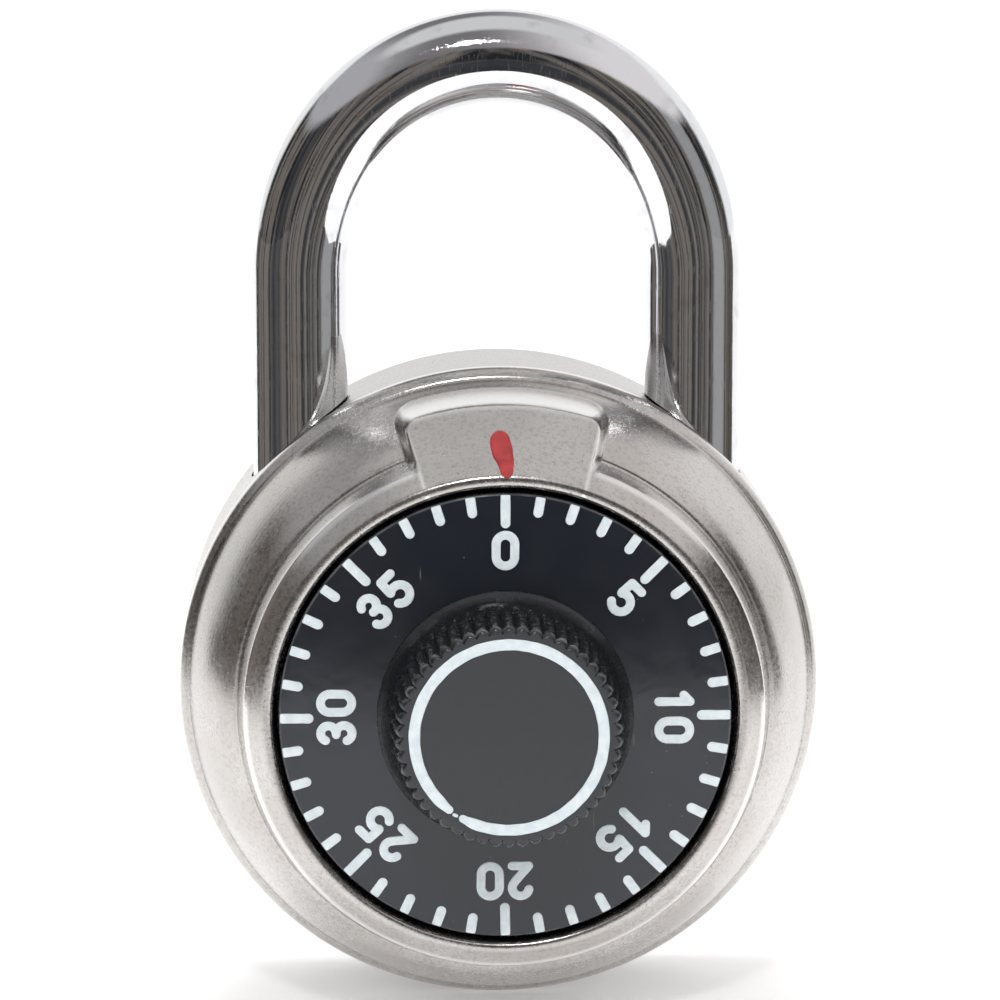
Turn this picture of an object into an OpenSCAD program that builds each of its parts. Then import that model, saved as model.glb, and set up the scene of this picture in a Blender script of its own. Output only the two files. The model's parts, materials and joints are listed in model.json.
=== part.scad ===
// Combination padlock with a round drawn body, a numbered dial and a sliding shackle.
// The back of the body lies on y = 0 and the dial faces -Y. +Z points up to the shackle.
// The origin is where the dial's axis meets the back face. All sizes are in millimetres.
// Depths called _t are measured from the back face towards the dial.

/* [Body] */
// Diameter of the body over its lip
body_d = 48; // [47.6:0.1:49]
// Depth of the lip's crest in front of the back face
lip_t = 10.3; // [10.2:0.05:10.6]
// Depth of the ring round the dial in front of the back face
ring_t = 22.6; // [22.4:0.1:23]
// Thickness of the stainless sheet
sheet = 0.8; // [0.7:0.05:0.8]
// Width of the index pad, as an angle about the dial
pad_angle = 39; // [20:1:60]

/* [Dial] */
// Diameter of the dial
dial_d = 33.2; // [32:0.1:33.3]
// Number of divisions round the dial
divisions = 40; // [20:5:60]
// Every so many divisions one is long
long_every = 5; // [2:1:10]
// Diameter of the knob's foot
knob_d = 18.8; // [14:0.2:22]
// Height of the knob above the dial
knob_h = 6.9; // [4:0.1:9]
// Number of grip ribs round the knob
knob_ribs = 50; // [20:1:60]

/* [Shackle] */
// Diameter of the shackle bar
bar_d = 7.14; // [7:0.02:7.2]
// Distance between the two legs' centre lines
leg_pitch = 29.5; // [29.4:0.05:29.8]
// Height of the top of the bow above the dial's axis
bow_top = 50.2; // [45:0.1:70]
// How far the shackle lifts when it opens
lift = 10.2; // [9:0.1:10.2]

/* [Wheels] */
// Radius of the wheel rims
wheel_r = 9.6; // [9.2:0.1:9.6]
// Thickness of each wheel
wheel_h = 1.4; // [1.2:0.1:1.4]
// Width of each gate
gate_w = 2.3; // [2.3:0.1:2.8]
// Depth of each gate
gate_depth = 1.8; // [1.8:0.05:1.9]

/* [Hidden] */
$fn = 96;
eps = 0.02;                       // overlap that joins two shapes of one solid
gap = 0.05;                       // gap between neighbours that only touch
bar_r = bar_d / 2;
body_r = body_d / 2;
wall_r = body_r - 0.2;            // outside of the drum wall
leg_x = leg_pitch / 2;
leg_t = 5.6;                      // depth of the legs' centre lines
leg_gap = 0.15;                   // gap round a leg in the drum wall
hole_r = body_r - 7.05;           // edge of the hole that the dial sits in
ridge_r = body_r - 4.75;          // outer edge of the ring round the dial

// Levels of the fixed sheets
plate_t = 1;                      // front of the rear cover's middle
flange_t = 1.6;                   // front of the rear cover's flange
floor_t = 17.8;                   // front of the floor behind the dial
case_t = floor_t - sheet - 0.1;   // front of the inner case
case_sheet = 1;

// Levels of the dial and of the wheel pack
dial_t = ring_t - 0.3;
dial_back_t = floor_t + 0.6;
knob_t = dial_t + knob_h;
paint = 0.12;                     // thickness of raised paint
wheel_3_t = 6.8;
wheel_pitch = wheel_h + 1.6;      // one wheel and the space in front of it
wheel_2_t = wheel_3_t + wheel_pitch;
cam_t = wheel_2_t + wheel_pitch;
hub_top_t = cam_t + wheel_h + 0.8;

spindle_r = 2.5;
post_r = 3;
running_gap = 0.07;               // radial clearance of a turning or sliding fit
pin_r = 0.8;
pin_at = 6.5;                     // radius that the drive pins sit at
pin_h = 1.1;
pin_lead = 195;                   // from a drive pin to the pin that it will meet

// Locking: the lever's pivot, the fence and the pawl
pivot = [-16.2, -9.6];
pivot_r = 1.2;
lever_t = 2.2;
lever_h = 1.4;
lever_top_t = lever_t + lever_h;
fence_angle = 156;
fence_w = 1.5;
fence_r = wheel_r + 0.5;          // fence's inner edge when it is clear of the rims
fence_len = 2.6;
toe_x = -(leg_x - bar_r);         // inner side of the toe leg
toe_z = 11.5;                     // end of the toe leg
heel_z = -9.5;                    // end of the heel leg
notch_depth = 1.4;
notch_ramp = 4;                   // height of the notch's sloping lower side
notch_low_z = toe_z + 0.3;
notch_top_z = toe_z + 7.1;
nose_depth = 1.2;
nose_slack = 0.6;                 // lift that is free before the pawl takes the load
pawl_travel = 3.2;
pawl_head = 1.6;                  // width of the pawl's head beside the toe leg
pawl_low_z = 13;
pawl_high_z = 17;
pawl_tail_x = 0.5;
pawl_top_t = 7.2;
lever_end_x = 5.2;
tab = 0.8;                        // thickness of the lever's folded tabs
clip_z = -7.9;                    // heel clip, and the groove that it snaps into
clip_h = 0.7;
groove_r = 2.7;

spring_z = bow_top - bar_r - leg_x;  // where the straight legs end and the bow starts

// ---- Helpers. Inside facing(), x is across, y is up and z is the depth from the back face.

module facing() {
    rotate([90, 0, 0]) children();
}

module tube(outer, inner, low, high) {
    translate([0, 0, low]) difference() {
        cylinder(r = outer, h = high - low);
        translate([0, 0, -1]) cylinder(r = inner, h = high - low + 2);
    }
}

module plate(low, high) {
    translate([0, 0, low]) linear_extrude(high - low) children();
}

// A hole for each leg through the upper half of the drum wall
module leg_holes() {
    for (side = [-1, 1])
        translate([side * leg_x, 0, leg_t]) rotate([-90, 0, 0])
            cylinder(r = bar_r + leg_gap, h = body_r + 1);
}

// A wheel of the lock: a disc with a true gate and an equally deep false gate opposite it
module gated_disc(low, bore) {
    difference() {
        tube(wheel_r, bore, low, low + wheel_h);
        for (turn = [0, 180])
            rotate([0, 0, fence_angle + turn])
                translate([wheel_r - gate_depth, -gate_w / 2, low - 1])
                    cube([gate_depth + 1, gate_w, wheel_h + 2]);
    }
}

module drive_pin(angle, low) {
    rotate([0, 0, angle]) translate([pin_at, 0, low])
        cylinder(r = pin_r, h = pin_h + eps, $fn = 32);
}

// ---- Fixed body

// Drawn front: rolled back edge, drum wall, lip, dome, trough, ring and the floor behind the dial
module outer_cover() {
    inside_r = wall_r - sheet;
    dome = ring_t - lip_t;
    color("silver") facing() difference() {
        union() {
            rotate_extrude() polygon([
                [inside_r - 0.8, 0], [wall_r - 0.4, 0], [wall_r, 0.4], [wall_r, lip_t - 0.9],
                [body_r, lip_t - 0.4], [body_r, lip_t + 0.3], [body_r - 0.3, lip_t + 0.9],
                [body_r - 0.8, lip_t + 0.16 * dome], [body_r - 1.6, lip_t + 0.36 * dome],
                [body_r - 2.8, lip_t + 0.57 * dome], [body_r - 3.8, lip_t + 0.7 * dome],
                [ridge_r + 0.35, ring_t - 3.1], [ridge_r + 0.05, ring_t - 1.9],
                [ridge_r - 0.25, ring_t - 1.3], [hole_r + 1.2, ring_t - 0.2],
                [hole_r + 0.8, ring_t], [hole_r + 0.4, ring_t - 0.12], [hole_r + 0.12, ring_t - 0.45],
                [hole_r, ring_t - 0.9], [hole_r, floor_t],
                [4.05, floor_t], [4.05, floor_t - sheet], [hole_r + sheet, floor_t - sheet],
                [hole_r + sheet, ring_t - 1.9], [ridge_r - 0.75, ring_t - 2.4],
                [ridge_r - 0.45, ring_t - 4], [body_r - 4.2, lip_t + 0.62 * dome],
                [body_r - 3.4, lip_t + 0.5 * dome], [body_r - 2.3, lip_t + 0.32 * dome],
                [body_r - 1.6, lip_t + 0.14 * dome], [body_r - 1.1, lip_t + 0.3],
                [inside_r, lip_t - 1], [inside_r, 0.5], [inside_r - 0.8, 0.5]]);
            index_pad();
        }
        leg_holes();
    }
}

// Raised pad that carries the index mark, on the ring's own cone
module index_pad() {
    rotate([0, 0, 90 - pad_angle / 2]) rotate_extrude(angle = pad_angle) polygon([
        [ridge_r - 0.3, ring_t - 1.4], [ridge_r + 0.05, ring_t - 1.5], [body_r - 2, ring_t - 4.6],
        [body_r - 1.5, ring_t - 5.4], [body_r - 1.9, ring_t - 7.4], [body_r - 2.8, ring_t - 6],
        [ridge_r - 0.3, ring_t - 3.2]]);
}

// Drop of red paint on the index pad, down to the edge of the hole
module index_mark() {
    low_r = hole_r + 1.2;
    bend_r = ridge_r + 0.05;
    high_r = ridge_r + 1.5;
    fall = 3.1 / (body_r - 2 - bend_r);
    mark_angle = 4.6;
    high_t = ring_t - 1.5 - fall * (high_r - bend_r);
    color("firebrick") facing() rotate([0, 0, 90 - mark_angle / 2])
        rotate_extrude(angle = mark_angle) polygon([
            [low_r, ring_t - 0.18], [low_r, ring_t - 0.05], [bend_r, ring_t - 1.38],
            [high_r, high_t + paint], [high_r, high_t + 0.01], [bend_r, ring_t - 1.48]]);
}

// Steel cup inside the cover. It carries the spindle and keeps the drum stiff.
module inner_case() {
    outer = wall_r - sheet - 0.1;
    color("dimgray") facing() difference() {
        rotate_extrude() polygon([
            [outer, 1.7], [outer, 9.6], [outer - 0.8, 12], [outer - 1.6, 14.4],
            [outer - 3, case_t], [4.05, case_t], [4.05, case_t - case_sheet],
            [outer - 3.5, case_t - case_sheet], [outer - 2.5, 14], [outer - 1.8, 11.8],
            [outer - 1, 9.4], [outer - 1, 1.7]]);
        leg_holes();
    }
}

// Rear cover: a flat raised middle inside a flange that the drum's edge is rolled over
module rear_cover() {
    edge = wall_r - sheet - gap;
    color("silver") facing() rotate_extrude() polygon([
        [0, 0], [edge - 2.3, 0], [edge - 1.7, 0.55 + gap], [edge, 0.55 + gap],
        [edge, flange_t], [edge - 2.1, flange_t], [edge - 2.7, plate_t], [0, plate_t]]);
}

// Flanged bush that the spindle turns in
module spindle_bush() {
    color("peru") facing() {
        tube(4, spindle_r + running_gap, case_t - case_sheet, floor_t + eps);
        tube(5.4, spindle_r + running_gap, floor_t, floor_t + 0.4);
    }
}

// Wavy washer that pushes the drive cam back, so that the dial doesn't rattle
module thrust_washer() {
    color("lightsteelblue") facing()
        tube(4.6, spindle_r + 0.2, hub_top_t + gap, case_t - case_sheet - gap);
}

// Post that the two loose wheels turn on, riveted to the rear cover
module wheel_post() {
    color("gainsboro") facing() {
        translate([0, 0, plate_t]) cylinder(r = 4.6, h = 4.6);
        translate([0, 0, plate_t]) cylinder(r = post_r, h = cam_t - plate_t - 0.7);
    }
}

// Fixed washer on the post between the two wheels, so that one doesn't drag the other
module wheel_spacer() {
    color("peru") facing()
        tube(4.4, post_r, wheel_3_t + wheel_h + gap, wheel_2_t - gap);
}

// Spring washer under the wheels
module wheel_spring() {
    color("lightsteelblue") facing() tube(4.5, post_r, 5.6 + gap, wheel_3_t - gap);
}

// Clip on the end of the post that keeps the wheels on
module post_clip() {
    color("lightsteelblue") facing()
        tube(4.6, post_r, wheel_2_t + wheel_h + gap, wheel_2_t + wheel_h + 0.55);
}

// Headed pin that the fence lever swings on, with a collar under the lever
module lever_pivot() {
    color("gainsboro") facing() translate([pivot.x, pivot.y, 0]) {
        translate([0, 0, plate_t]) cylinder(r = pivot_r, h = 6.2);
        translate([0, 0, plate_t + 5.6]) cylinder(r = 1.9, h = 0.6);
        translate([0, 0, flange_t + gap]) cylinder(r = 2.2, h = lever_t - flange_t - 2 * gap);
    }
}

// Torsion spring round the pivot, with one tail against the inner case and one on the lever
module lever_spring() {
    low = 4.5;
    wire = 0.5;
    color("lightsteelblue") facing() translate([pivot.x, pivot.y, 0]) {
        tube(1.75, 1.3, low, low + 1.8);
        rotate([0, 0, 236]) translate([1.4, -wire / 2, low]) cube([1.4, wire, wire]);
        rotate([0, 0, 72]) translate([1.4, -wire / 2, low]) cube([6, wire, wire]);
    }
}

// Bracket that guides the heel leg. The clip on the leg meets it when the shackle is up.
module heel_guide() {
    low_z = clip_z + clip_h + lift + 0.1;
    high_z = low_z + 1.4;
    color("dimgray") facing() difference() {
        plate(plate_t, 10.2) translate([9.9, low_z]) square([9.5, high_z - low_z]);
        translate([leg_x, low_z - 1, leg_t]) rotate([-90, 0, 0])
            cylinder(r = bar_r + running_gap, h = high_z - low_z + 2);
    }
}

// ---- Dial and what turns with it

module dial_disc() {
    edge = 0.35;
    color("black") facing() rotate_extrude() polygon([
        [spindle_r, dial_back_t], [dial_d / 2 - edge, dial_back_t],
        [dial_d / 2, dial_back_t + edge], [dial_d / 2, dial_t - edge],
        [dial_d / 2 - edge, dial_t], [spindle_r, dial_t]]);
}

// Raised white division marks round the edge of the dial
module dial_markings() {
    edge = dial_d / 2 - 0.4;
    color("white") facing() for (i = [0 : divisions - 1]) {
        long = i % long_every == 0;
        rotate([0, 0, 90 - i * 360 / divisions])
            translate([edge - (long ? 2.7 : 1.6), -0.36, dial_t]) cube([long ? 2.7 : 1.6, 0.72, paint]);
    }
}

// Grip knob with straight ribs, narrower at its face than at its foot
module dial_knob() {
    step = 360 / knob_ribs;
    foot = knob_d / 2;
    color("black") facing() translate([0, 0, dial_t]) {
        linear_extrude(knob_h, scale = 0.875) polygon([
            for (i = [0 : 2 * knob_ribs - 1])
                (foot - (i % 2) * 0.45) * [cos(i * step / 2), sin(i * step / 2)]]);
    }
}

module knob_ring() {
    color("white") facing() tube(7.3, 6.4, knob_t, knob_t + paint);
}

// Spindle, from the drive cam through the bush to the dial, where it is riveted over
module spindle() {
    color("gainsboro") facing() translate([0, 0, cam_t - 0.2])
        cylinder(r = spindle_r, h = dial_t - cam_t + 0.2);
}

module drive_cam() {
    color("goldenrod") facing() {
        gated_disc(cam_t, spindle_r);
        tube(4.2, spindle_r, cam_t + wheel_h - eps, hub_top_t);
        drive_pin(246, cam_t - pin_h);
    }
}

// ---- Loose wheels. A pin on each face takes the drive from the wheel in front.

module wheel_2() {
    color("goldenrod") facing() {
        gated_disc(wheel_2_t, post_r + running_gap);
        drive_pin(246 + pin_lead, wheel_2_t + wheel_h - eps);
        drive_pin(112, wheel_2_t - pin_h);
    }
}

module wheel_3() {
    color("goldenrod") facing() {
        gated_disc(wheel_3_t, post_r + running_gap);
        drive_pin(112 + pin_lead, wheel_3_t + wheel_h - eps);
    }
}

// ---- Fence lever, pawl and shackle

// Flat lever with a fence folded across the wheels and tabs that guide the pawl
module fence_lever() {
    tab_x = toe_x + pawl_head + pawl_travel + 0.2;
    tab_w = 5;
    shelf_low = pawl_low_z - 0.1 - tab;
    shelf_high = pawl_high_z + 0.1 + tab;
    color("slategray") facing() {
        difference() {
            plate(lever_t, lever_top_t) union() {
                translate(pivot) circle(r = 2.6);
                polygon([
                    pivot + [-2.4, 1], [-16.6, 6], [-14.8, toe_z - 0.5], [toe_x + 0.4, toe_z - 0.5],
                    [toe_x + 0.4, shelf_high], [lever_end_x + tab, shelf_high],
                    [lever_end_x + tab, shelf_low], [-7.4, shelf_low], [-8.6, 6], [-10, 1],
                    pivot + [2.5, -0.6]]);
            }
            translate([pivot.x, pivot.y, 0]) cylinder(r = pivot_r + running_gap, h = 10);
        }
        rotate([0, 0, fence_angle])
            translate([fence_r, -fence_w / 2, lever_top_t - eps])
                cube([fence_len, fence_w, cam_t + wheel_h + 0.2 - lever_top_t]);
        for (low = [shelf_low, pawl_high_z + 0.1])
            translate([tab_x, low, lever_top_t - eps])
                cube([tab_w, tab, pawl_top_t - lever_top_t]);
        translate([lever_end_x, shelf_low, lever_top_t - eps])
            cube([tab, shelf_high - shelf_low, pawl_top_t - lever_top_t]);
    }
}

// Spring-loaded pawl. Its nose stands in the notch of the toe leg.
module locking_pawl() {
    slope = notch_depth / notch_ramp;
    root_low = notch_low_z + nose_slack;
    tip_low = root_low + nose_depth / slope;
    tip_high = tip_low + 0.7;
    root_high = tip_high + 0.6;
    color("darkgray") facing() {
        plate(leg_t - 1.6, leg_t + 1.6) polygon([
            [toe_x + 0.3, root_low - 0.3], [toe_x, root_low], [toe_x - nose_depth, tip_low],
            [toe_x - nose_depth, tip_high], [toe_x, root_high],
            [toe_x + pawl_head, root_high], [toe_x + pawl_head, root_low - 0.3]]);
        plate(lever_top_t + gap, pawl_top_t) translate([toe_x + 0.5, pawl_low_z])
            square([pawl_tail_x - toe_x - 0.5, pawl_high_z - pawl_low_z]);
    }
}

// Coil spring between the pawl's tail and the tab at the end of the lever
module pawl_spring() {
    low_x = pawl_tail_x + gap;
    mid_t = (lever_top_t + pawl_top_t) / 2 + 0.1;
    color("lightsteelblue") facing()
        translate([low_x, (pawl_low_z + pawl_high_z) / 2, mid_t]) rotate([0, 90, 0])
            tube(1.5, 1.1, 0, lever_end_x - gap - low_x);
}

// Half ring that joins the two legs
module bow() {
    translate([0, spring_z, leg_t]) rotate_extrude(angle = 180)
        translate([leg_x, 0]) circle(r = bar_r, $fn = 64);
}

module leg(x, low_z) {
    bevel = 0.6;
    translate([x, low_z, leg_t]) rotate([-90, 0, 0]) {
        cylinder(r1 = bar_r - bevel, r2 = bar_r, h = bevel);
        translate([0, 0, bevel]) cylinder(r = bar_r, h = spring_z - low_z - bevel);
    }
}

module shackle() {
    color("lightgray") facing() difference() {
        union() {
            leg(-leg_x, toe_z);
            leg(leg_x, heel_z);
            bow();
        }
        plate(0, leg_t + bar_r + 1) polygon([
            [toe_x + 0.6, notch_low_z], [toe_x, notch_low_z],
            [toe_x - notch_depth, notch_low_z + notch_ramp],
            [toe_x - notch_depth, notch_top_z - 1], [toe_x, notch_top_z], [toe_x + 0.6, notch_top_z]]);
        translate([leg_x, clip_z - 0.05, leg_t]) rotate([-90, 0, 0])
            tube(bar_r + 1, groove_r, 0, clip_h + 0.1);
    }
}

// Open clip in the groove near the end of the heel leg
module heel_clip() {
    mouth = 2 * groove_r - 0.6;
    color("lightsteelblue") facing()
        translate([leg_x, clip_z, leg_t]) rotate([-90, 0, 0]) difference() {
            tube(4.4, groove_r, 0, clip_h);
            translate([0, -mouth / 2, -1]) cube([6, mouth, clip_h + 2]);
        }
}

outer_cover();
index_mark();
inner_case();
rear_cover();
spindle_bush();
thrust_washer();
wheel_post();
wheel_spacer();
wheel_spring();
post_clip();
lever_pivot();
lever_spring();
heel_guide();
dial_disc();
dial_markings();
dial_knob();
knob_ring();
spindle();
drive_cam();
wheel_2();
wheel_3();
fence_lever();
locking_pawl();
pawl_spring();
shackle();
heel_clip();
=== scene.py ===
"""Looks of the combination padlock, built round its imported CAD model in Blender 4.5.

Shapes are worked out in millimetres as (across, up, depth), with the depth measured from
the back face towards the dial. at() turns them into the frame's metres.
Angles round the dial are clockwise from the top, as seen from the front.
"""

import json
import math

import bmesh
import bpy
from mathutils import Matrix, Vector, noise


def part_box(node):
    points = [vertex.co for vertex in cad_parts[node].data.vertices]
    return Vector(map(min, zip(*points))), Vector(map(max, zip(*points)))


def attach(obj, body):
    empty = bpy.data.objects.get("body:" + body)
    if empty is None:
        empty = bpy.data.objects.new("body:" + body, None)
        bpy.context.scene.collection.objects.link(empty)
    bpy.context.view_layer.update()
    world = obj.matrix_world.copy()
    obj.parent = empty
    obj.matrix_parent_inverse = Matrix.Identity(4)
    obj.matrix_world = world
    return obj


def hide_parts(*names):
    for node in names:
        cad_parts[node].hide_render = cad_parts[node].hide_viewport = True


MM = 0.001
CREASE = 32  # degrees; edges sharper than this stay hard
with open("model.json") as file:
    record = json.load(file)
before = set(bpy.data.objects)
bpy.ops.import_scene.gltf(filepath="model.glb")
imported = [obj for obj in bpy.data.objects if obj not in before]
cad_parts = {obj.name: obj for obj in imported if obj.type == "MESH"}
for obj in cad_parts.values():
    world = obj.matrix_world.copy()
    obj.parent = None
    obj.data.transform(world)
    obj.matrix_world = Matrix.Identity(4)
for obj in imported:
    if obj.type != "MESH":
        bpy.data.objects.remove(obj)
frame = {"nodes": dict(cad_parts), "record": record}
scene = bpy.context.scene
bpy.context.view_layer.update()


# ---- Sizes in millimetres, read from the frame


def extent(node):
    """Lowest and highest (across, up, depth) of a CAD node at rest."""
    low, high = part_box(node)
    return Vector((low.x, low.z, -high.y)) / MM, Vector((high.x, high.z, -low.y)) / MM


cover_high = extent("outer_cover")[1]
rear_high = extent("rear_cover")[1]
dial_low, dial_high = extent("dial_disc")
mark_high = extent("dial_markings")[1]
knob_high = extent("dial_knob")[1]
ring_high = extent("knob_ring")[1]
shackle_low, shackle_high = extent("shackle")

# Names ending in _r are radii from the dial's axis, in _t depths, in _z heights
body_r = cover_high.x
wall_r = body_r - 0.2
hole_r = body_r - 7.05
ridge_r = body_r - 4.9
ring_t = cover_high.z
lip_t = ring_t - 12.3
sheet = 0.8
dial_r = dial_high.x
dial_t = dial_high.z
floor_t = dial_low.z - 0.6
paint = mark_high.z - dial_t
bar_r = (shackle_high.z - shackle_low.z) / 2
leg_t = (shackle_high.z + shackle_low.z) / 2
leg_x = shackle_high.x - bar_r
bow_top = shackle_high.y
heel_z = shackle_low.y
toe_z = min(v.co.z for v in frame["nodes"]["shackle"].data.vertices if v.co.x < 0) / MM

# Index pad: half its angle, outer edge, fall of its cone, rounding of its corners, width of its walls
pad_half = math.radians(18.8)
pad_outer = body_r - 1.75
pad_slope = 1.08
pad_corner = 0.7
pad_wall = 0.65
pad_side_wall = 1.4 * pad_wall


# ---- Meshes


def at(across, up, depth):
    return Vector((across, -depth, up)) * MM


def rounded(corners, steps=5):
    """Closed outline of (x, y, reach) corners. A corner's rounding starts reach away from it."""
    outline = []
    for i, (x, y, reach) in enumerate(corners):
        corner = Vector((x, y))
        before = Vector(corners[i - 1][:2]) - corner
        after = Vector(corners[(i + 1) % len(corners)][:2]) - corner
        if reach == 0:
            outline.append(corner)
            continue
        start = corner + before.normalized() * min(reach, before.length * 0.48)
        end = corner + after.normalized() * min(reach, after.length * 0.48)
        for k in range(steps + 1):
            s = k / steps
            outline.append(start * (1 - s) ** 2 + corner * 2 * s * (1 - s) + end * s * s)
    return outline


def refined(outline, step, wanted):
    """The outline with sides longer than step divided wherever wanted(point) holds."""
    points = []
    for i, a in enumerate(outline):
        b = outline[(i + 1) % len(outline)]
        parts = 1
        if wanted(a) and wanted(b):
            parts = max(1, math.ceil((b - a).length / step))
        points += [a.lerp(b, k / parts) for k in range(parts)]
    return points


def grid_faces(rows, columns, loop_rows):
    """Quads of a grid of points whose columns always close on themselves."""
    faces = []
    for i in range(rows if loop_rows else rows - 1):
        for j in range(columns):
            k = (j + 1) % columns
            n = (i + 1) % rows
            faces.append((i * columns + j, i * columns + k, n * columns + k, n * columns + j))
    return faces


def lathe(outline, angles, shape=None):
    """Turns an outline of (radius, depth) round the dial's axis. shape moves its point j."""
    verts = []
    for angle in angles:
        for j, point in enumerate(outline):
            r, t = shape(j, point.x, point.y, angle) if shape else point
            verts.append((r * math.sin(angle), r * math.cos(angle), t))
    return verts, grid_faces(len(angles), len(outline), True)


def turns(count):
    return [2 * math.pi * i / count for i in range(count)]


def mesh_object(name, verts, faces, crease=CREASE):
    """Closed object from (across, up, depth) points, smooth except over sharper creases."""
    mesh = bpy.data.meshes.new(name)
    mesh.from_pydata([at(*v) for v in verts], [], faces)
    work = bmesh.new()
    work.from_mesh(mesh)
    bmesh.ops.remove_doubles(work, verts=work.verts, dist=1e-7)
    bmesh.ops.recalc_face_normals(work, faces=work.faces)
    work.to_mesh(mesh)
    work.free()
    mesh.shade_smooth()
    mesh.set_sharp_from_angle(angle=math.radians(crease))
    thing = bpy.data.objects.new(name, mesh)
    scene.collection.objects.link(thing)
    return thing


def cut(thing, cutter):
    """Takes the cutter out of the thing for good."""
    tool = thing.modifiers.new("cut", "BOOLEAN")
    tool.operation = "DIFFERENCE"
    tool.solver = "EXACT"
    tool.object = cutter
    bpy.context.view_layer.update()
    graph = bpy.context.evaluated_depsgraph_get()
    mesh = bpy.data.meshes.new_from_object(thing.evaluated_get(graph))
    thing.modifiers.clear()
    old = thing.data
    thing.data = mesh
    mesh.name = thing.name
    mesh.set_sharp_from_angle(angle=math.radians(CREASE))
    bpy.data.meshes.remove(old)
    bpy.data.meshes.remove(cutter.data)


def add_piece(thing, body, node, material):
    """Lets a piece stand for one CAD node."""
    thing.data.materials.clear()
    thing.data.materials.append(material)
    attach(thing, body)
    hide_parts(node)
    return thing


def smooth(value, low, high):
    s = min(1, max(0, (value - low) / (high - low)))
    return s * s * (3 - 2 * s)


def sway(x, y, seed):
    """Gentle irregularity between about -1 and 1."""
    return noise.noise(Vector((x, y, seed * 7.3)))


# ---- Materials


def grey(level):
    return (level, level, level, 1)


class Graph:
    """Shorthand for the nodes of one material or world."""

    def __init__(self, tree):
        self.tree = tree

    def plug(self, socket, value):
        if isinstance(value, bpy.types.NodeSocket):
            self.tree.links.new(value, socket)
        else:
            socket.default_value = value

    def math(self, operation, *values):
        node = self.tree.nodes.new("ShaderNodeMath")
        node.operation = operation
        for socket, value in zip(node.inputs, values):
            self.plug(socket, value)
        return node.outputs["Value"]

    def vector(self, operation, a, b):
        node = self.tree.nodes.new("ShaderNodeVectorMath")
        node.operation = operation
        self.plug(node.inputs[0], a)
        self.plug(node.inputs[1], b)
        return node.outputs["Vector"]

    def split(self, vector):
        node = self.tree.nodes.new("ShaderNodeSeparateXYZ")
        self.plug(node.inputs[0], vector)
        return node.outputs

    def remap(self, value, low, high, to_low=0.0, to_high=1.0):
        """value eased from (low, high) to (to_low, to_high)."""
        node = self.tree.nodes.new("ShaderNodeMapRange")
        node.interpolation_type = "SMOOTHSTEP"
        for socket, number in zip(node.inputs, (value, low, high, to_low, to_high)):
            self.plug(socket, number)
        return node.outputs["Result"]

    def mix(self, share, a, b):
        node = self.tree.nodes.new("ShaderNodeMix")
        node.data_type = "RGBA"
        self.plug(node.inputs["Factor"], share)
        self.plug(node.inputs[6], a)
        self.plug(node.inputs[7], b)
        return node.outputs[2]

    def clouds(self, vector, scale, detail):
        """Noise from 0 to 1."""
        node = self.tree.nodes.new("ShaderNodeTexNoise")
        node.inputs["Scale"].default_value = scale
        node.inputs["Detail"].default_value = detail
        self.plug(node.inputs["Vector"], vector)
        return node.outputs["Fac"]


class Finish(Graph):
    """A material of one Principled shader, patterned in the object's own millimetres."""

    def __init__(self, name, **sockets):
        self.material = bpy.data.materials.new(name)
        self.material.use_nodes = True
        super().__init__(self.material.node_tree)
        self.shader = self.tree.nodes["Principled BSDF"]
        for socket, value in sockets.items():
            self.plug(self.shader.inputs[socket.replace("_", " ")], value)
        place = self.tree.nodes.new("ShaderNodeTexCoord").outputs["Object"]
        self.place = self.vector("MULTIPLY", place, (1 / MM, 1 / MM, 1 / MM))

    def noise(self, scale, detail=3, stretch=(1, 1, 1)):
        """Noise with scale features to the millimetre."""
        return self.clouds(self.vector("MULTIPLY", self.place, stretch), scale, detail)

    def cells(self, scale):
        """Distance to the nearest of scattered points, scale of them to the millimetre."""
        node = self.tree.nodes.new("ShaderNodeTexVoronoi")
        node.inputs["Scale"].default_value = scale
        self.plug(node.inputs["Vector"], self.place)
        return node.outputs["Distance"]

    def scratches(self, scale, stretch):
        """Short fine lines along the squeezed axis, in some places only."""
        lines = self.remap(self.noise(scale, 2, stretch), 0.735, 0.76)
        return self.math("MULTIPLY", lines, self.remap(self.noise(0.16, 2), 0.48, 0.56))

    def axes(self):
        """Across, depth and up as three values."""
        x, y, z = self.split(self.place)
        return x, self.math("MULTIPLY", y, -1.0), z

    def radius(self):
        """Distance from the dial's axis."""
        x, _, z = self.axes()
        square = self.math("ADD", self.math("MULTIPLY", x, x), self.math("MULTIPLY", z, z))
        return self.math("SQRT", square)

    def band(self, value, centre, width):
        """1 where value is at the centre, falling to 0 a width away from it."""
        away = self.math("ABSOLUTE", self.math("SUBTRACT", value, centre))
        return self.remap(away, 0.0, width, 1.0, 0.0)

    def relief(self, height, depth, strength=1.0, under=None):
        """Bump whose highest features stand depth millimetres up."""
        node = self.tree.nodes.new("ShaderNodeBump")
        node.inputs["Strength"].default_value = strength
        node.inputs["Distance"].default_value = depth * MM
        self.plug(node.inputs["Height"], height)
        if under:
            self.plug(node.inputs["Normal"], under)
        return node.outputs["Normal"]

    def finish(self, colour=None, roughness=None, normal=None):
        for name, value in (("Base Color", colour), ("Roughness", roughness), ("Normal", normal)):
            if value is not None:
                self.plug(self.shader.inputs[name], value)
        return self.material


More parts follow.
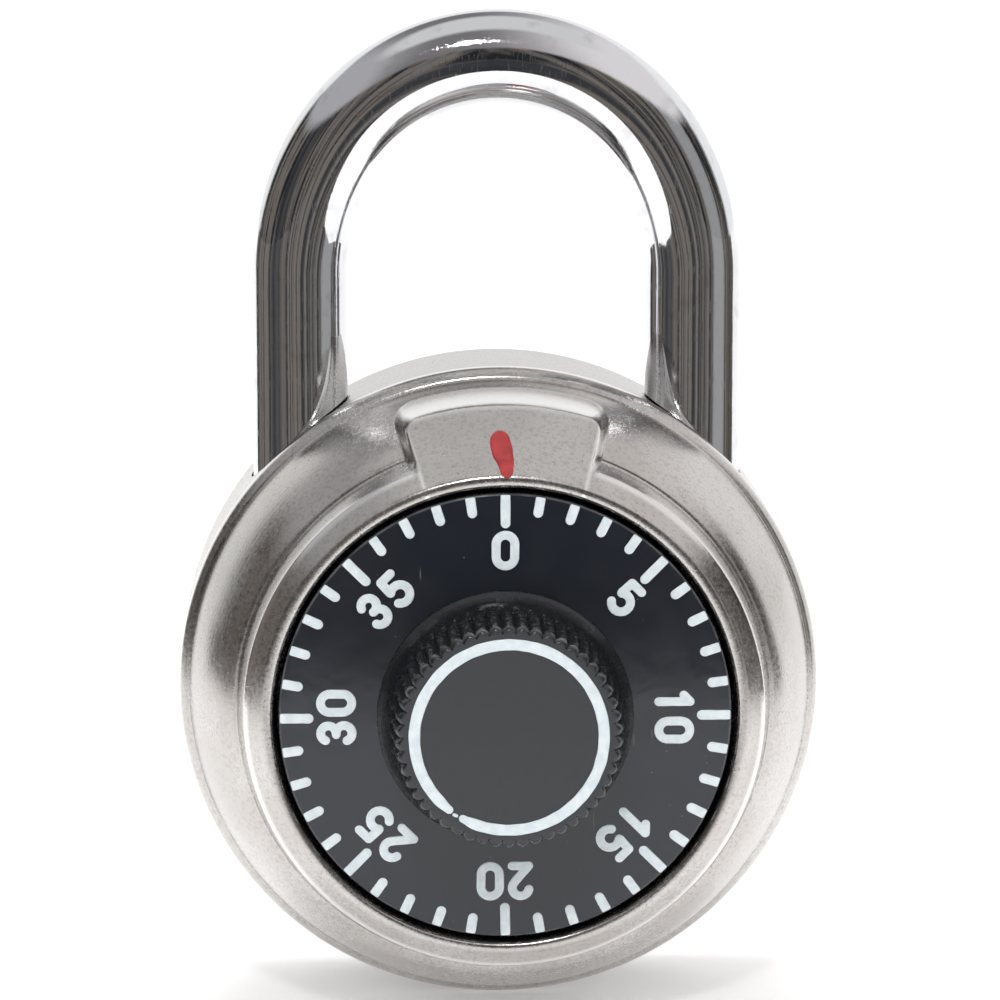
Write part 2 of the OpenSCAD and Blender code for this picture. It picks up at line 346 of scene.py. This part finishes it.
def rubbed_edges(f):
    """1 on the lip, the ridge and the pad's edges, where the cover gets a painted highlight and a
    little less roughness.
    """
    x, depth, z = f.axes()
    radius = f.radius()
    lip = f.math("MULTIPLY", f.band(radius, body_r, 0.35), f.band(depth, lip_t, 0.9))
    turn = f.math("ABSOLUTE", f.math("ARCTAN2", x, z))
    side = f.math("MULTIPLY", f.math("SUBTRACT", turn, pad_half), radius)
    front = f.remap(depth, ring_t - 3.2, ring_t - 2.6)
    ridge = f.math("MULTIPLY", f.band(radius, ridge_r - 0.08, 0.32), front)
    ridge = f.math("MULTIPLY", ridge, f.remap(side, 0.2, 0.8))
    pad_side = f.math("MULTIPLY", f.band(side, 0.1, 0.28), f.remap(depth, lip_t + 5, lip_t + 6))
    pad_top = f.math("MULTIPLY", f.band(radius, pad_outer + 0.2, 0.55), f.remap(side, 0.4, 0.0))
    pad = f.math("MAXIMUM", pad_side, pad_top)
    pad = f.math("MULTIPLY", pad, f.remap(radius, pad_outer + 0.9, pad_outer + 0.6))
    pad = f.math("MULTIPLY", pad, f.remap(depth, lip_t + 2.5, lip_t + 3.5))
    return f.math("MAXIMUM", f.math("MAXIMUM", lip, ridge), pad)


def satin_steel():
    """Tumbled stainless sheet: fine pits and specks, with a painted highlight along its edges, where
    it is also a little glossier.
    """
    f = Finish("satin_steel", Metallic=1.0)
    specks = f.remap(f.cells(2.6), 0.05, 0.22, 1.0, 0.0)
    patches = f.noise(0.16, 4)
    grain = f.noise(3.2, 6)
    edge_highlight = rubbed_edges(f)
    colour = f.mix(f.remap(patches, 0.35, 0.65), (0.57, 0.545, 0.52, 1), (0.64, 0.62, 0.60, 1))
    colour = f.mix(f.remap(grain, 0.36, 0.52, 0.35, 0.0), colour, (0.36, 0.33, 0.315, 1))
    stained = f.math("MULTIPLY", specks, f.remap(f.noise(0.7, 2), 0.45, 0.6))
    colour = f.mix(stained, colour, (0.30, 0.27, 0.255, 1))
    # painted highlight: the lip, the ridge and the pad's edges mixed towards near white
    colour = f.mix(f.math("MULTIPLY", edge_highlight, 0.8), colour, (0.93, 0.92, 0.91, 1))
    patchy = f.remap(patches, 0.3, 0.7, 0.0, 0.06)
    rough = f.math("ADD", f.remap(grain, 0.3, 0.7, 0.19, 0.26), patchy)
    rough = f.math("SUBTRACT", rough, f.math("MULTIPLY", edge_highlight, 0.1))
    normal = f.relief(grain, 0.012, 0.5)
    return f.finish(colour, rough, f.relief(specks, 0.010, 0.5, normal))


def shackle_chrome():
    """Bright plating over slightly wavy polished steel, with hairlines along the bar."""
    f = Finish("shackle_chrome", Metallic=1.0)
    tarnish = f.remap(f.noise(0.5, 4), 0.55, 0.75)
    colour = f.mix(tarnish, (0.77, 0.78, 0.80, 1), (0.66, 0.66, 0.67, 1))
    hairs = f.remap(f.noise(2.4, 4, (4, 4, 0.25)), 0.60, 0.70)
    haze = f.remap(f.noise(1.1, 4), 0.35, 0.7, 0.025, 0.06)
    rough = f.math("ADD", haze, f.math("MULTIPLY", hairs, 0.05))
    waves = f.relief(f.noise(0.17, 1), 0.05, 0.5)
    waves = f.relief(f.noise(0.9, 3), 0.004, 0.6, waves)
    normal = f.relief(hairs, 0.003, 0.4, waves)
    return f.finish(colour, rough, normal)


def black_enamel():
    """Gloss black paint with hairline scratches, dust, a faint orange peel and a painted highlight
    along its rim.
    """
    f = Finish("black_enamel", Specular_IOR_Level=0.6)
    peel = f.noise(0.9, 2)
    scratches = f.math("ADD", f.scratches(2.2, (0.05, 1, 1)), f.scratches(1.9, (1, 1, 0.07)))
    dust = f.remap(f.cells(1.15), 0.03, 0.09, 1.0, 0.0)
    dust = f.math("MULTIPLY", dust, f.remap(f.noise(0.5, 1), 0.5, 0.6))
    marks = f.math("MINIMUM", f.math("ADD", scratches, dust), 1.0)
    colour = f.mix(f.math("MULTIPLY", marks, 0.35), (0.014, 0.017, 0.024, 1), (0.22, 0.22, 0.21, 1))
    haze = f.remap(f.noise(0.35, 4), 0.3, 0.7, 0.08, 0.15)
    rough = f.math("ADD", haze, f.math("MULTIPLY", marks, 0.25))
    # painted highlight: a broken pale grey line just inside the dial's rim
    edge = f.band(f.radius(), dial_r - 0.08, 0.12)
    edge = f.math("MULTIPLY", edge, f.remap(f.noise(0.5, 3), 0.3, 0.6, 0.2, 0.8))
    colour = f.mix(edge, colour, grey(0.13))
    normal = f.relief(peel, 0.012, 0.4)
    return f.finish(colour, rough, f.relief(scratches, 0.003, 0.3, normal))


def black_plastic():
    """Moulded plastic, pale on the crests of the ribs from wear and painted highlight, with a painted
    highlight round the rim of its face.
    """
    f = Finish("black_plastic", Specular_IOR_Level=0.6)
    depth = f.axes()[1]
    face = f.remap(depth, knob_high.z - 0.06, knob_high.z - 0.01)
    along = f.math("SUBTRACT", depth, dial_t)
    tip = f.math("SUBTRACT", knob_high.x - 0.84, f.math("MULTIPLY", along, 0.045))
    # pale rib crests towards the face: wear together with painted highlight
    wear_and_highlight = f.remap(f.math("SUBTRACT", f.radius(), tip), -0.12, 0.12)
    wear_and_highlight = f.math("MULTIPLY", wear_and_highlight, f.remap(along, 2.0, 4.5))
    wear_and_highlight = f.math("MULTIPLY", wear_and_highlight, f.remap(f.noise(3.5, 4), 0.48, 0.62))
    # painted highlight: a pale band round the rim of the knob's face, broken up by noise
    rim_highlight = f.band(depth, knob_high.z - 0.26, 0.2)
    rim_highlight = f.math("MULTIPLY", rim_highlight, f.remap(f.noise(1.2, 3), 0.4, 0.65, 0.1, 0.8))
    wear_and_highlight = f.math("MAXIMUM", wear_and_highlight, rim_highlight)
    colour = f.mix(face, (0.012, 0.013, 0.015, 1), (0.034, 0.038, 0.043, 1))
    colour = f.mix(f.math("MULTIPLY", wear_and_highlight, 0.6), colour, (0.22, 0.225, 0.23, 1))
    rough = f.mix(face, (0.24, 0.24, 0.24, 1), (0.42, 0.42, 0.42, 1))
    rough = f.math("ADD", rough, f.remap(f.noise(1.6, 4), 0.3, 0.7, -0.06, 0.08))
    rough = f.math("ADD", rough, f.math("MULTIPLY", wear_and_highlight, 0.2))
    return f.finish(colour, rough, f.relief(f.noise(2.0, 2), 0.01, 0.2))


def thick_paint(name, deep, light, roughness):
    """Thick paint laid by hand: uneven in tone and gloss."""
    f = Finish(name, Coat_Weight=0.15, Coat_Roughness=0.3)
    tone = f.noise(1.3, 4)
    colour = f.mix(f.remap(tone, 0.3, 0.7), deep, light)
    rough = f.remap(f.noise(2.2, 3), 0.3, 0.7, roughness - 0.08, roughness + 0.1)
    return f.finish(colour, rough, f.relief(f.noise(2.8, 3), 0.02, 0.5))


def machined(name, colour, dull, roughness, grain=(1, 1, 1)):
    """Metal of the hidden parts: tool marks, with a duller film in patches."""
    f = Finish(name, Metallic=1.0)
    film = f.remap(f.noise(0.35, 5), 0.4, 0.65)
    lines = f.noise(6.0, 3, grain)
    rough = f.remap(lines, 0.3, 0.7, roughness - 0.06, roughness + 0.08)
    return f.finish(f.mix(film, colour, dull), rough, f.relief(lines, 0.008, 0.5))


materials = {
    "satin_steel": satin_steel(),
    "shackle_chrome": shackle_chrome(),
    "black_enamel": black_enamel(),
    "black_plastic": black_plastic(),
    "white_paint": thick_paint("white_paint", (0.68, 0.76, 0.80, 1), (0.80, 0.87, 0.90, 1), 0.45),
    "red_paint": thick_paint("red_paint", (0.28, 0.010, 0.013, 1), (0.42, 0.024, 0.026, 1), 0.36),
    "plated_steel": machined("plated_steel", (0.66, 0.65, 0.62, 1), (0.50, 0.49, 0.46, 1), 0.33),
    "brass": machined("brass", (0.80, 0.58, 0.27, 1), (0.60, 0.42, 0.20, 1), 0.32, (1, 0.1, 1)),
    "spring_steel": machined("spring_steel", (0.52, 0.53, 0.55, 1), (0.40, 0.40, 0.41, 1), 0.28),
}


# ---- Drawn cover with its index pad


def pad_depth(r):
    return ring_t - 1.5 - pad_slope * (r - ridge_r)


def on_pad(r, angle):
    """1 on top of the index pad, 0 off it and between the two on its walls."""
    side = (abs(angle) - pad_half) * r * pad_wall / pad_side_wall + pad_corner
    outside = r - pad_outer + pad_corner
    away = math.hypot(max(side, 0), max(outside, 0)) - pad_corner
    return 1 - smooth(away, 0, pad_wall)


def cover_outline():
    outside = [
        (wall_r - 1.6, 0, 0.1), (wall_r - 0.4, 0, 0.25), (wall_r, 0.4, 0.25),
        (wall_r, lip_t - 1.0, 0.5), (body_r, lip_t - 0.5, 0.3), (body_r, lip_t + 0.3, 0.4),
        (body_r - 0.45, lip_t + 1.05, 0.16), (body_r - 0.75, lip_t + 1.2, 0.2),
        (body_r - 1.1, lip_t + 2.7, 1), (body_r - 1.9, lip_t + 5.1, 2),
        (body_r - 3.1, lip_t + 7.6, 2), (body_r - 4.0, lip_t + 8.7, 0.6),
        (body_r - 4.35, lip_t + 8.75, 0.2), (ridge_r + 0.3, ring_t - 2.6, 0.2),
        (ridge_r + 0.05, ring_t - 1.5, 0.16), (hole_r + 1.35, ring_t - 0.6, 0.4),
        (hole_r + 0.9, ring_t - 0.05, 0.3), (hole_r, ring_t - 0.1, 0.75),
        (hole_r, floor_t, 0.4), (4.05, floor_t, 0),
    ]
    inside = [
        (4.05, floor_t - sheet, 0), (hole_r + sheet, floor_t - sheet, 0.3),
        (hole_r + sheet, ring_t - 1.9, 0.2), (ridge_r - 0.6, ring_t - 2.4, 0.2),
        (ridge_r - 0.3, ring_t - 4, 0.3), (body_r - 4.2, lip_t + 7.6, 0.5),
        (body_r - 3.4, lip_t + 6.1, 0.5), (body_r - 2.3, lip_t + 3.9, 0.5),
        (body_r - 1.6, lip_t + 1.7, 0.5), (body_r - 1.1, lip_t + 0.3, 0.3),
        (wall_r - sheet, lip_t - 1, 0.3), (wall_r - sheet, 0.5, 0),
        (wall_r - 1.6, 0.5, 0),
    ]
    return refined(rounded(outside + inside), 0.12, lambda p: p.x > hole_r + 1.3 and p.y > lip_t + 2)


cover_lines = cover_outline()
pad_start = next(j for j, p in enumerate(cover_lines) if p.y > lip_t + 2.6)
pad_stop = next(j for j, p in enumerate(cover_lines) if j > pad_start and p.x < hole_r + 1.35)


def cover_shape(j, r, t, angle):
    """Draws the outside up to the pad's cone, with its points evenly spaced there."""
    if not pad_start <= j <= pad_stop:
        return r, t
    share = (j - pad_start) / (pad_stop - pad_start)
    first, last = cover_lines[pad_start].x, cover_lines[pad_stop].x
    flat_r = first + (last - first) * share
    lift = on_pad(flat_r, math.remainder(angle, 2 * math.pi))
    return r + lift * (flat_r - r), t + lift * (pad_depth(flat_r) - t)


def cover_angles():
    """Every degree, with close steps over the walls at the pad's two sides."""
    angles = turns(360)
    for side in (-1, 1):
        start = side * (pad_half - 0.01)
        angles += [(start + side * 0.0024 * k) % (2 * math.pi) for k in range(-8, 25)]
    return sorted(set(round(a, 6) for a in angles))


def cylinders(places, radius, low, high, depth, sides=96):
    """Upright cylinders, for cutting with."""
    verts, faces = [], []
    for x in places:
        base = len(verts)
        for up in (low, high):
            for a in turns(sides):
                verts.append((x + radius * math.cos(a), up, depth + radius * math.sin(a)))
        faces += [tuple(base + i for i in face) for face in grid_faces(2, sides, False)]
        faces.append(tuple(range(base, base + sides)))
        faces.append(tuple(range(base + sides, base + 2 * sides)))
    return mesh_object("cutter", verts, faces)


cover = mesh_object("outer_cover_shell", *lathe(cover_lines, cover_angles(), cover_shape))
cut(cover, cylinders((-leg_x, leg_x), bar_r + 0.15, 10, body_r + 3, leg_t))
add_piece(cover, "housing", "outer_cover", materials["satin_steel"])

edge = rear_high.x
rear_outline = rounded([
    (0, 0, 0), (edge - 2.8, 0, 0), (edge - 2.3, 0, 0.3), (edge - 1.7, 0.6, 0.3),
    (edge, 0.6, 0), (edge, 1.6, 0), (edge - 2.1, 1.6, 0.3), (edge - 2.7, 1, 0.3),
    (edge - 3.2, 1, 0), (0, 1, 0),
])
rear = mesh_object("rear_cover_panel", *lathe(rear_outline, turns(240)))
add_piece(rear, "housing", "rear_cover", materials["satin_steel"])


# ---- Raised paint


class Paint:
    """Strokes of raised paint in one mesh. place() maps (across, along, lift) to the surface."""

    def __init__(self, place, thickness):
        self.place = place
        self.thickness = thickness
        self.verts = []
        self.faces = []

    def ring(self, point, side, half, height):
        """One rounded section of a stroke."""
        for k in range(9):
            a = math.pi * k / 8
            offset = side * (half * math.cos(a))
            lift = height * math.sin(a) ** 0.5 * (1 - 0.3 * math.sin(a) ** 6) - 0.02
            self.verts.append(self.place(point.x + offset.x, point.y + offset.y, lift))

    def stroke(self, path, width, closed=False, square=False):
        """Paints along the path. width is one number, or one for each point of the path."""
        widths = width if isinstance(width, list) else [width] * len(path)
        points = [Vector(p) for p in path]
        base = len(self.verts)
        sections = []
        for i, point in enumerate(points):
            before = points[i - 1] if i or closed else point
            after = points[(i + 1) % len(points)] if i + 1 < len(points) or closed else point
            along = (after - before).normalized()
            sections.append((point, along, widths[i] / 2, 1.0))
        if not closed:
            start = self.tail(sections[0], -1, square)
            sections = start[::-1] + sections + self.tail(sections[-1], 1, False)
        for point, along, half, share in sections:
            side = Vector((-along.y, along.x))
            wobble = 1 + 0.04 * sway(point.x * 1.7 + base, point.y * 1.7, 1)
            self.ring(point, side, half * wobble, self.thickness * share)
        quads = grid_faces(len(sections), 9, closed)
        self.faces += [tuple(base + i for i in face) for face in quads]
        if not closed:
            last = base + 9 * (len(sections) - 1)
            self.faces.append(tuple(range(base, base + 9)))
            self.faces.append(tuple(range(last, last + 9)))

    def tail(self, section, way, square):
        """Sections that round off an end, or a blunt end with small corners."""
        point, along, half, share = section
        reach = 0.14 if square else half
        tail = []
        for k in range(1, 6):
            a = math.pi / 2 * k / 5.3
            shrink = 1 - (0.25 * (1 - math.cos(a)) if square else 1 - math.cos(a))
            tip = point + along * (way * reach * math.sin(a))
            tail.append((tip, along, half * shrink, share * math.cos(a) ** 0.5))
        return tail


def arc(x, y, radius, start, end, steps=14):
    """Points along an arc, with its angles in degrees anticlockwise from the right."""
    angles = [math.radians(start + (end - start) * k / steps) for k in range(steps + 1)]
    return [(x + radius * math.cos(a), y + radius * math.sin(a)) for a in angles]


def line(a, b, steps=8):
    return [Vector(a).lerp(Vector(b), k / steps) for k in range(steps + 1)]


# Centre lines of the figures, in millimetres about the middle of each
TALL = 1.14
BOWL = TALL / 2
FIGURES = {
    "0": [arc(0, 0.46, 0.68, 0, 180) + arc(0, -0.46, 0.68, 180, 360)[:-1]],
    "1": [line((0.1, -TALL), (0.1, TALL)), line((0.1, TALL), (-0.38, 0.7), 4)],
    "2": [
        arc(0, 0.52, 0.62, 168, -38) + line((0.42, 0.04), (-0.58, -TALL))[1:],
        line((-0.58, -TALL), (0.62, -TALL), 4),
    ],
    "3": [
        arc(-0.02, BOWL, BOWL, 158, -78),
        arc(-0.02, -BOWL, BOWL + 0.02, 78, -158),
        line((-0.1, 0), (0.1, 0), 3),
    ],
    "5": [
        line((0.52, TALL), (-0.44, TALL), 4),
        line((-0.44, TALL), (-0.5, 0.16), 5),
        arc(-0.02, -0.44, 0.7, 130, -145),
    ],
}


def on_dial(angle, radius):
    """Placing function for paint on the dial, centred at a radius and an angle."""

    def place(x, y, lift):
        out = radius + y
        across = out * math.sin(angle) + x * math.cos(angle)
        up = out * math.cos(angle) - x * math.sin(angle)
        return across, up, dial_t + lift

    return place


def dial_paint():
    """Forty division marks, and a number at every long one, reading outwards."""
    divisions, long_every = 40, 5
    outer = dial_r - 0.12
    paints = Paint(None, paint)
    for i in range(divisions):
        angle = 2 * math.pi * i / divisions
        long = i % long_every == 0
        length = 2.45 if long else 1.5
        paints.place = on_dial(angle, 0)
        lean = 0.05 * sway(i * 3.1, 0, 5)
        paints.stroke(line((0, outer - 0.12), (lean, outer - length + 0.37), 6), 0.74, square=True)
        if not long:
            continue
        digits = str(i)
        for k, digit in enumerate(digits):
            shift = (k - (len(digits) - 1) / 2) * 2.24
            paints.place = on_dial(angle, 12.38)
            for path in FIGURES[digit]:
                moved = [(x + shift, y) for x, y in path]
                paints.stroke(moved, 0.68, closed=digit == "0")
    return mesh_object("dial_paint", paints.verts, paints.faces, 50)


add_piece(dial_paint(), "dial", "dial_markings", materials["white_paint"])


def ring_depth(r, outline):
    """Front of the plain ring at a radius."""
    depth = floor_t
    for a, b in zip(outline, outline[1:]):
        if min(a.x, b.x) <= r <= max(a.x, b.x) and a.x != b.x:
            depth = max(depth, a.y + (b.y - a.y) * (r - a.x) / (b.x - a.x))
    return depth


def on_cover(outline):
    """Placing function for paint on the index pad and the ring."""

    def place(x, y, lift):
        r = math.hypot(x, y)
        depth = ring_depth(r, outline)
        if r > hole_r + 1.3:
            depth = max(depth, pad_depth(r))
        return x, y, depth + lift

    return place


def index_drop():
    """A drop of red paint, wider at the top and leaning a little."""
    low, high = hole_r + 1.32, hole_r + 3.0
    path, widths = [], []
    for k in range(15):
        s = k / 14
        y = low + (high - low) * s
        path.append((0.1 - 0.34 * s + 0.05 * math.sin(5 * s), y))
        widths.append(1.05 + 0.52 * smooth(s, 0.0, 0.75) + 0.05 * sway(s * 6, 0, 2))
    drop = Paint(on_cover(cover_lines), 0.1)
    drop.stroke(path, widths)
    return mesh_object("index_drop", drop.verts, drop.faces, 60)


add_piece(index_drop(), "housing", "index_mark", materials["red_paint"])


# ---- Dial, knob and ring


dial_outline = rounded([
    (2.5, dial_low.z, 0), (dial_r - 0.1, dial_low.z, 0.3), (dial_r, dial_low.z + 0.4, 0.3),
    (dial_r, dial_t - 0.12, 0.05), (dial_r - 0.12, dial_t, 0.06), (dial_r - 0.4, dial_t, 0),
    (2.5, dial_t, 0),
])
dial = mesh_object("dial_plate", *lathe(dial_outline, turns(360)))
add_piece(dial, "dial", "dial_disc", materials["black_enamel"])

knob_foot = knob_high.x
knob_top = knob_high.z - dial_t
RIBS = 50


def knob_shape(j, r, t, angle):
    """Rounded grip ribs, fading out into the smooth skirt and the face."""
    strength = smooth(t - dial_t, 1.3, 2.6) * smooth(r, knob_foot * 0.8, knob_foot * 0.85)
    hollow = 1 - abs(math.cos(angle * RIBS / 2)) ** 0.8
    return r - 0.36 * strength * hollow, t


knob_outline = rounded([
    (0, dial_t, 0), (knob_foot, dial_t, 0), (knob_foot, dial_t + 0.14, 0.07),
    (knob_foot - 0.3, dial_t + 0.45, 0.15), (knob_foot - 0.68, dial_t + 1.0, 0.4),
    (knob_foot - 0.9, dial_t + 1.9, 0.6), (knob_foot * 0.88, dial_t + knob_top - 0.42, 0.35),
    (knob_foot * 0.845, dial_t + knob_top, 0.3), (knob_foot * 0.79, dial_t + knob_top, 0),
    (knob_foot * 0.78, dial_t + knob_top, 0), (0, dial_t + knob_top, 0),
])
knob_outline = refined(knob_outline, 0.25, lambda p: p.x > knob_foot * 0.78 and p.y > dial_t + 0.4)
knob = mesh_object("grip_knob", *lathe(knob_outline, turns(RIBS * 14), knob_shape), 45)
add_piece(knob, "dial", "dial_knob", materials["black_plastic"])


def ring_paint():
    """White ring round the knob's face, chipped through at the lower left."""
    middle = ring_high.x - 0.46
    chip = (math.radians(209.5), math.radians(219.5))
    path, widths = [], []
    for k in range(361):
        angle = chip[1] + (2 * math.pi - chip[1] + chip[0]) * k / 360
        r = middle + 0.015 * sway(math.cos(angle) * 4, math.sin(angle) * 4, 3)
        path.append((r * math.sin(angle), r * math.cos(angle)))
        frayed = 0.3 * smooth(k, 352, 360) + 0.2 * smooth(k, 10, 0)
        widths.append(0.84 + 0.05 * sway(math.cos(angle) * 9, math.sin(angle) * 9, 4) - frayed)
    paints = Paint(lambda x, y, lift: (x, y, knob_high.z + lift), paint)
    paints.stroke(path, widths)
    fleck = (chip[0] + chip[1]) / 2
    x, y = middle * math.sin(fleck), middle * math.cos(fleck)
    paints.stroke(line((x - 0.12, y - 0.02), (x + 0.06, y - 0.1), 3), 0.24)
    return mesh_object("ring_paint", paints.verts, paints.faces, 60)


add_piece(ring_paint(), "dial", "knob_ring", materials["white_paint"])


# ---- Shackle


def bow_path():
    """Centre line from the toe to the heel as (across, up): flat shoulders under a round crown."""
    shoulder, crown, join = 18.0, 14.17, 31.9
    crown_up = bow_top - bar_r - crown
    join_up = crown_up + crown * math.sin(math.radians(join))
    straight_up = join_up - shoulder * math.sin(math.radians(join))
    left = arc(shoulder - leg_x, straight_up, shoulder, 180, 180 - join, 24)
    top = arc(0, crown_up, crown, 180 - join, join, 72)
    right = [(-x, y) for x, y in reversed(left)]
    rise = [(-leg_x, toe_z + 0.6 + (straight_up - toe_z - 0.6) * k / 12) for k in range(12)]
    fall = [(leg_x, straight_up + (heel_z + 0.6 - straight_up) * k / 20) for k in range(1, 21)]
    return [Vector(p) for p in rise + left + top[1:-1] + right + fall]


def bar(path, radius, sides=72, bevel=0.6):
    """Round bar along the path with a bevel at both ends."""
    sections = []
    for i, point in enumerate(path):
        along = (path[min(i + 1, len(path) - 1)] - path[max(i - 1, 0)]).normalized()
        sections.append((point, along, radius))
    for end, way in ((0, -1), (-1, 1)):
        point, along, _ = sections[end]
        steps = [(0.35, 0.08), (0.8, 0.36), (1.0, 0.62), (1.0, radius)]
        tips = [(point + along * (way * bevel * s), along, radius - drop) for s, drop in steps]
        sections = tips[::-1] + sections if end == 0 else sections + tips
    verts = []
    for point, along, r in sections:
        for a in turns(sides):
            side = Vector((-along.y, along.x)) * (r * math.cos(a))
            verts.append((point.x + side.x, point.y + side.y, leg_t + r * math.sin(a)))
    return verts, grid_faces(len(sections), sides, False)


def notch_cutter():
    """Wedge that leaves the pawl's notch in the toe leg."""
    inner = bar_r - leg_x
    low, high = toe_z + 0.3, toe_z + 7.1
    side = [
        (inner + 0.6, low), (inner, low), (inner - 1.4, low + 4),
        (inner - 1.4, high - 1), (inner, high), (inner + 0.6, high),
    ]
    verts = [(x, y, t) for t in (-1, leg_t + bar_r + 1) for x, y in side]
    count = len(side)
    faces = grid_faces(2, count, False)
    faces += [tuple(range(count)), tuple(range(count, 2 * count))]
    return mesh_object("cutter", verts, faces)


def groove_cutter():
    """Washer that leaves the clip's groove near the end of the heel leg."""
    low, high = heel_z + 1.55, heel_z + 2.35
    section = [(2.7, low), (bar_r + 1, low), (bar_r + 1, high), (2.7, high)]
    verts = []
    for a in turns(96):
        for r, up in section:
            verts.append((leg_x + r * math.cos(a), up, leg_t + r * math.sin(a)))
    return mesh_object("cutter", verts, grid_faces(96, 4, True))


shackle = mesh_object("shackle_bar", *bar(bow_path(), bar_r))
cut(shackle, notch_cutter())
cut(shackle, groove_cutter())
add_piece(shackle, "shackle_bar", "shackle", materials["shackle_chrome"])


# ---- Hidden parts keep their CAD shapes


for part in frame["record"]["subparts"]:
    thing = frame["nodes"][part["node"]]
    if not thing.hide_render:
        thing.data.materials.clear()
        thing.data.materials.append(materials[part["material_slot"]])


# ---- Floor, light and camera


def stage_object(name, corners, material):
    mesh = bpy.data.meshes.new(name)
    mesh.from_pydata([at(*c) for c in corners], [], [tuple(range(len(corners)))])
    mesh.materials.append(material)
    thing = bpy.data.objects.new(name, mesh)
    scene.collection.objects.link(thing)
    return thing


def clutter(graph, across, front, up):
    """Upright dark and pale strips of a dim room, by direction round the lock."""
    around = graph.math("ARCTAN2", across, front)
    node = graph.tree.nodes.new("ShaderNodeCombineXYZ")
    graph.plug(node.inputs[0], graph.math("MULTIPLY", around, 7.0))
    graph.plug(node.inputs[1], graph.math("MULTIPLY", up, 1.2))
    posts = graph.clouds(node.outputs[0], 1.3, 9)
    tinted = graph.clouds(node.outputs[0], 3.1, 2)
    dim = graph.mix(graph.remap(posts, 0.40, 0.58), (0.018, 0.021, 0.026, 1), (0.19, 0.17, 0.155, 1))
    dim = graph.mix(graph.remap(tinted, 0.60, 0.66), dim, (0.12, 0.09, 0.045, 1))
    pale = graph.math("MULTIPLY", graph.remap(around, 0.80, 0.95), graph.remap(around, 1.45, 1.30))
    deep = graph.math("MULTIPLY", graph.remap(around, -1.35, -1.2), graph.remap(around, -0.75, -0.9))
    dim = graph.mix(graph.math("MULTIPLY", deep, 0.7), dim, (0.025, 0.03, 0.036, 1))
    return graph.mix(pale, dim, grey(0.34))


ground = -body_r - 0.06
paper = Finish("paper", Roughness=0.9, Emission_Color=grey(1.0))
paper_x, paper_depth, _ = paper.axes()
away = paper.math("POWER", paper_x, 2.0)
away = paper.math("SQRT", paper.math("ADD", away, paper.math("POWER", paper_depth, 2.0)))
paper.plug(paper.shader.inputs["Emission Strength"], paper.remap(away, 250, 1300, 0.25, 0.62))
tone = paper.mix(paper.noise(0.02, 3), grey(0.84), grey(0.87))
wide = 4000
corners = ((-wide, -wide), (wide, -wide), (wide, wide), (-wide, wide))
stage_object("floor", [(x, ground, depth) for x, depth in corners], paper.finish(tone))

# Dim ground beyond the paper, seen only in reflections
dim_ground = Finish("dim_ground", Roughness=1.0, Base_Color=(0, 0, 0, 1), Emission_Strength=1.0)
ground_x, ground_depth, _ = dim_ground.axes()
room_light = clutter(dim_ground, ground_x, ground_depth, 0.1)
dim_ground.plug(dim_ground.shader.inputs["Emission Color"], room_light)
far = wide - 5
corners = (
    (-120, 140), (120, 140), (165, 80), (165, -60), (far, -0.4 * far),
    (far, far), (-far, far), (-far, -far), (-165, -110), (-165, 80),
)
outline = [(x, ground + 0.5, depth) for x, depth in corners]
card = stage_object("dim_ground", outline, dim_ground.material)
card.visible_camera = False
card.visible_diffuse = False
card.visible_shadow = False


def lamp(name, place, aim, size, power, mirrored):
    """Disc of light in metres and watts. Only a mirrored one shows in reflections."""
    light = bpy.data.lights.new(name, "AREA")
    light.shape = "DISK"
    light.size = size
    light.energy = power
    thing = bpy.data.objects.new(name, light)
    scene.collection.objects.link(thing)
    thing.location = at(*place)
    thing.rotation_euler = (at(*aim) - at(*place)).to_track_quat("-Z", "Y").to_euler()
    thing.visible_glossy = mirrored


lamp("above", (-40, 600, -60), (0, 0, 0), 0.3, 1.2, False)
lamp("front", (-160, 480, 520), (0, 5, 10), 0.5, 1.3, False)
lamp("spark", (-60, 560, 520), (0, 0, 20), 0.08, 1.2, True)
lamp("behind", (0, 900, -900), (0, 0, -900), 1.0, 4.5, False)


def room():
    """White behind and below, a dim cluttered room in front. The camera sees plain white."""
    world = bpy.data.worlds.new("room")
    scene.world = world
    world.use_nodes = True
    sky = Graph(world.node_tree)
    x, y, z = sky.split(world.node_tree.nodes.new("ShaderNodeTexCoord").outputs["Generated"])
    dim = clutter(sky, x, sky.math("MULTIPLY", y, -1.0), z)
    ceiling = sky.mix(sky.remap(x, -0.1, 0.55), (0.21, 0.20, 0.205, 1), (0.84, 0.81, 0.81, 1))
    ceiling = sky.mix(sky.remap(x, -0.25, -0.6), ceiling, (0.46, 0.455, 0.47, 1))
    front = sky.mix(sky.remap(z, 0.42, 0.52), dim, ceiling)
    above = sky.math("MULTIPLY", sky.remap(y, -0.34, -0.16), sky.remap(z, 0.80, 0.90))
    front = sky.mix(above, front, grey(0.72))
    behind = sky.remap(sky.math("ADD", y, sky.math("MULTIPLY", x, 0.2)), 0.38, 0.56)
    behind = sky.math("MULTIPLY", behind, sky.remap(z, 0.62, 0.50))
    seen = sky.mix(behind, front, grey(1.0))
    camera_ray = world.node_tree.nodes.new("ShaderNodeLightPath").outputs["Is Camera Ray"]
    background = world.node_tree.nodes["Background"]
    sky.plug(background.inputs["Color"], sky.mix(camera_ray, seen, grey(1.0)))


room()

target = at(-0.103, 14.764, 15.0)
yaw, pitch = math.radians(2.318), math.radians(10.567)
sight = Vector((math.sin(yaw) * math.cos(pitch), math.cos(yaw) * math.cos(pitch), -math.sin(pitch)))
reach = 0.42266
lens = bpy.data.cameras.new("camera")
lens.lens = 205.8
lens.sensor_width = 36
lens.clip_start = 0.01
camera = bpy.data.objects.new("camera", lens)
camera.location = target - sight * reach
camera.rotation_euler = sight.to_track_quat("-Z", "Y").to_euler()
scene.collection.objects.link(camera)
scene.camera = camera
scene.view_settings.view_transform = "Standard"
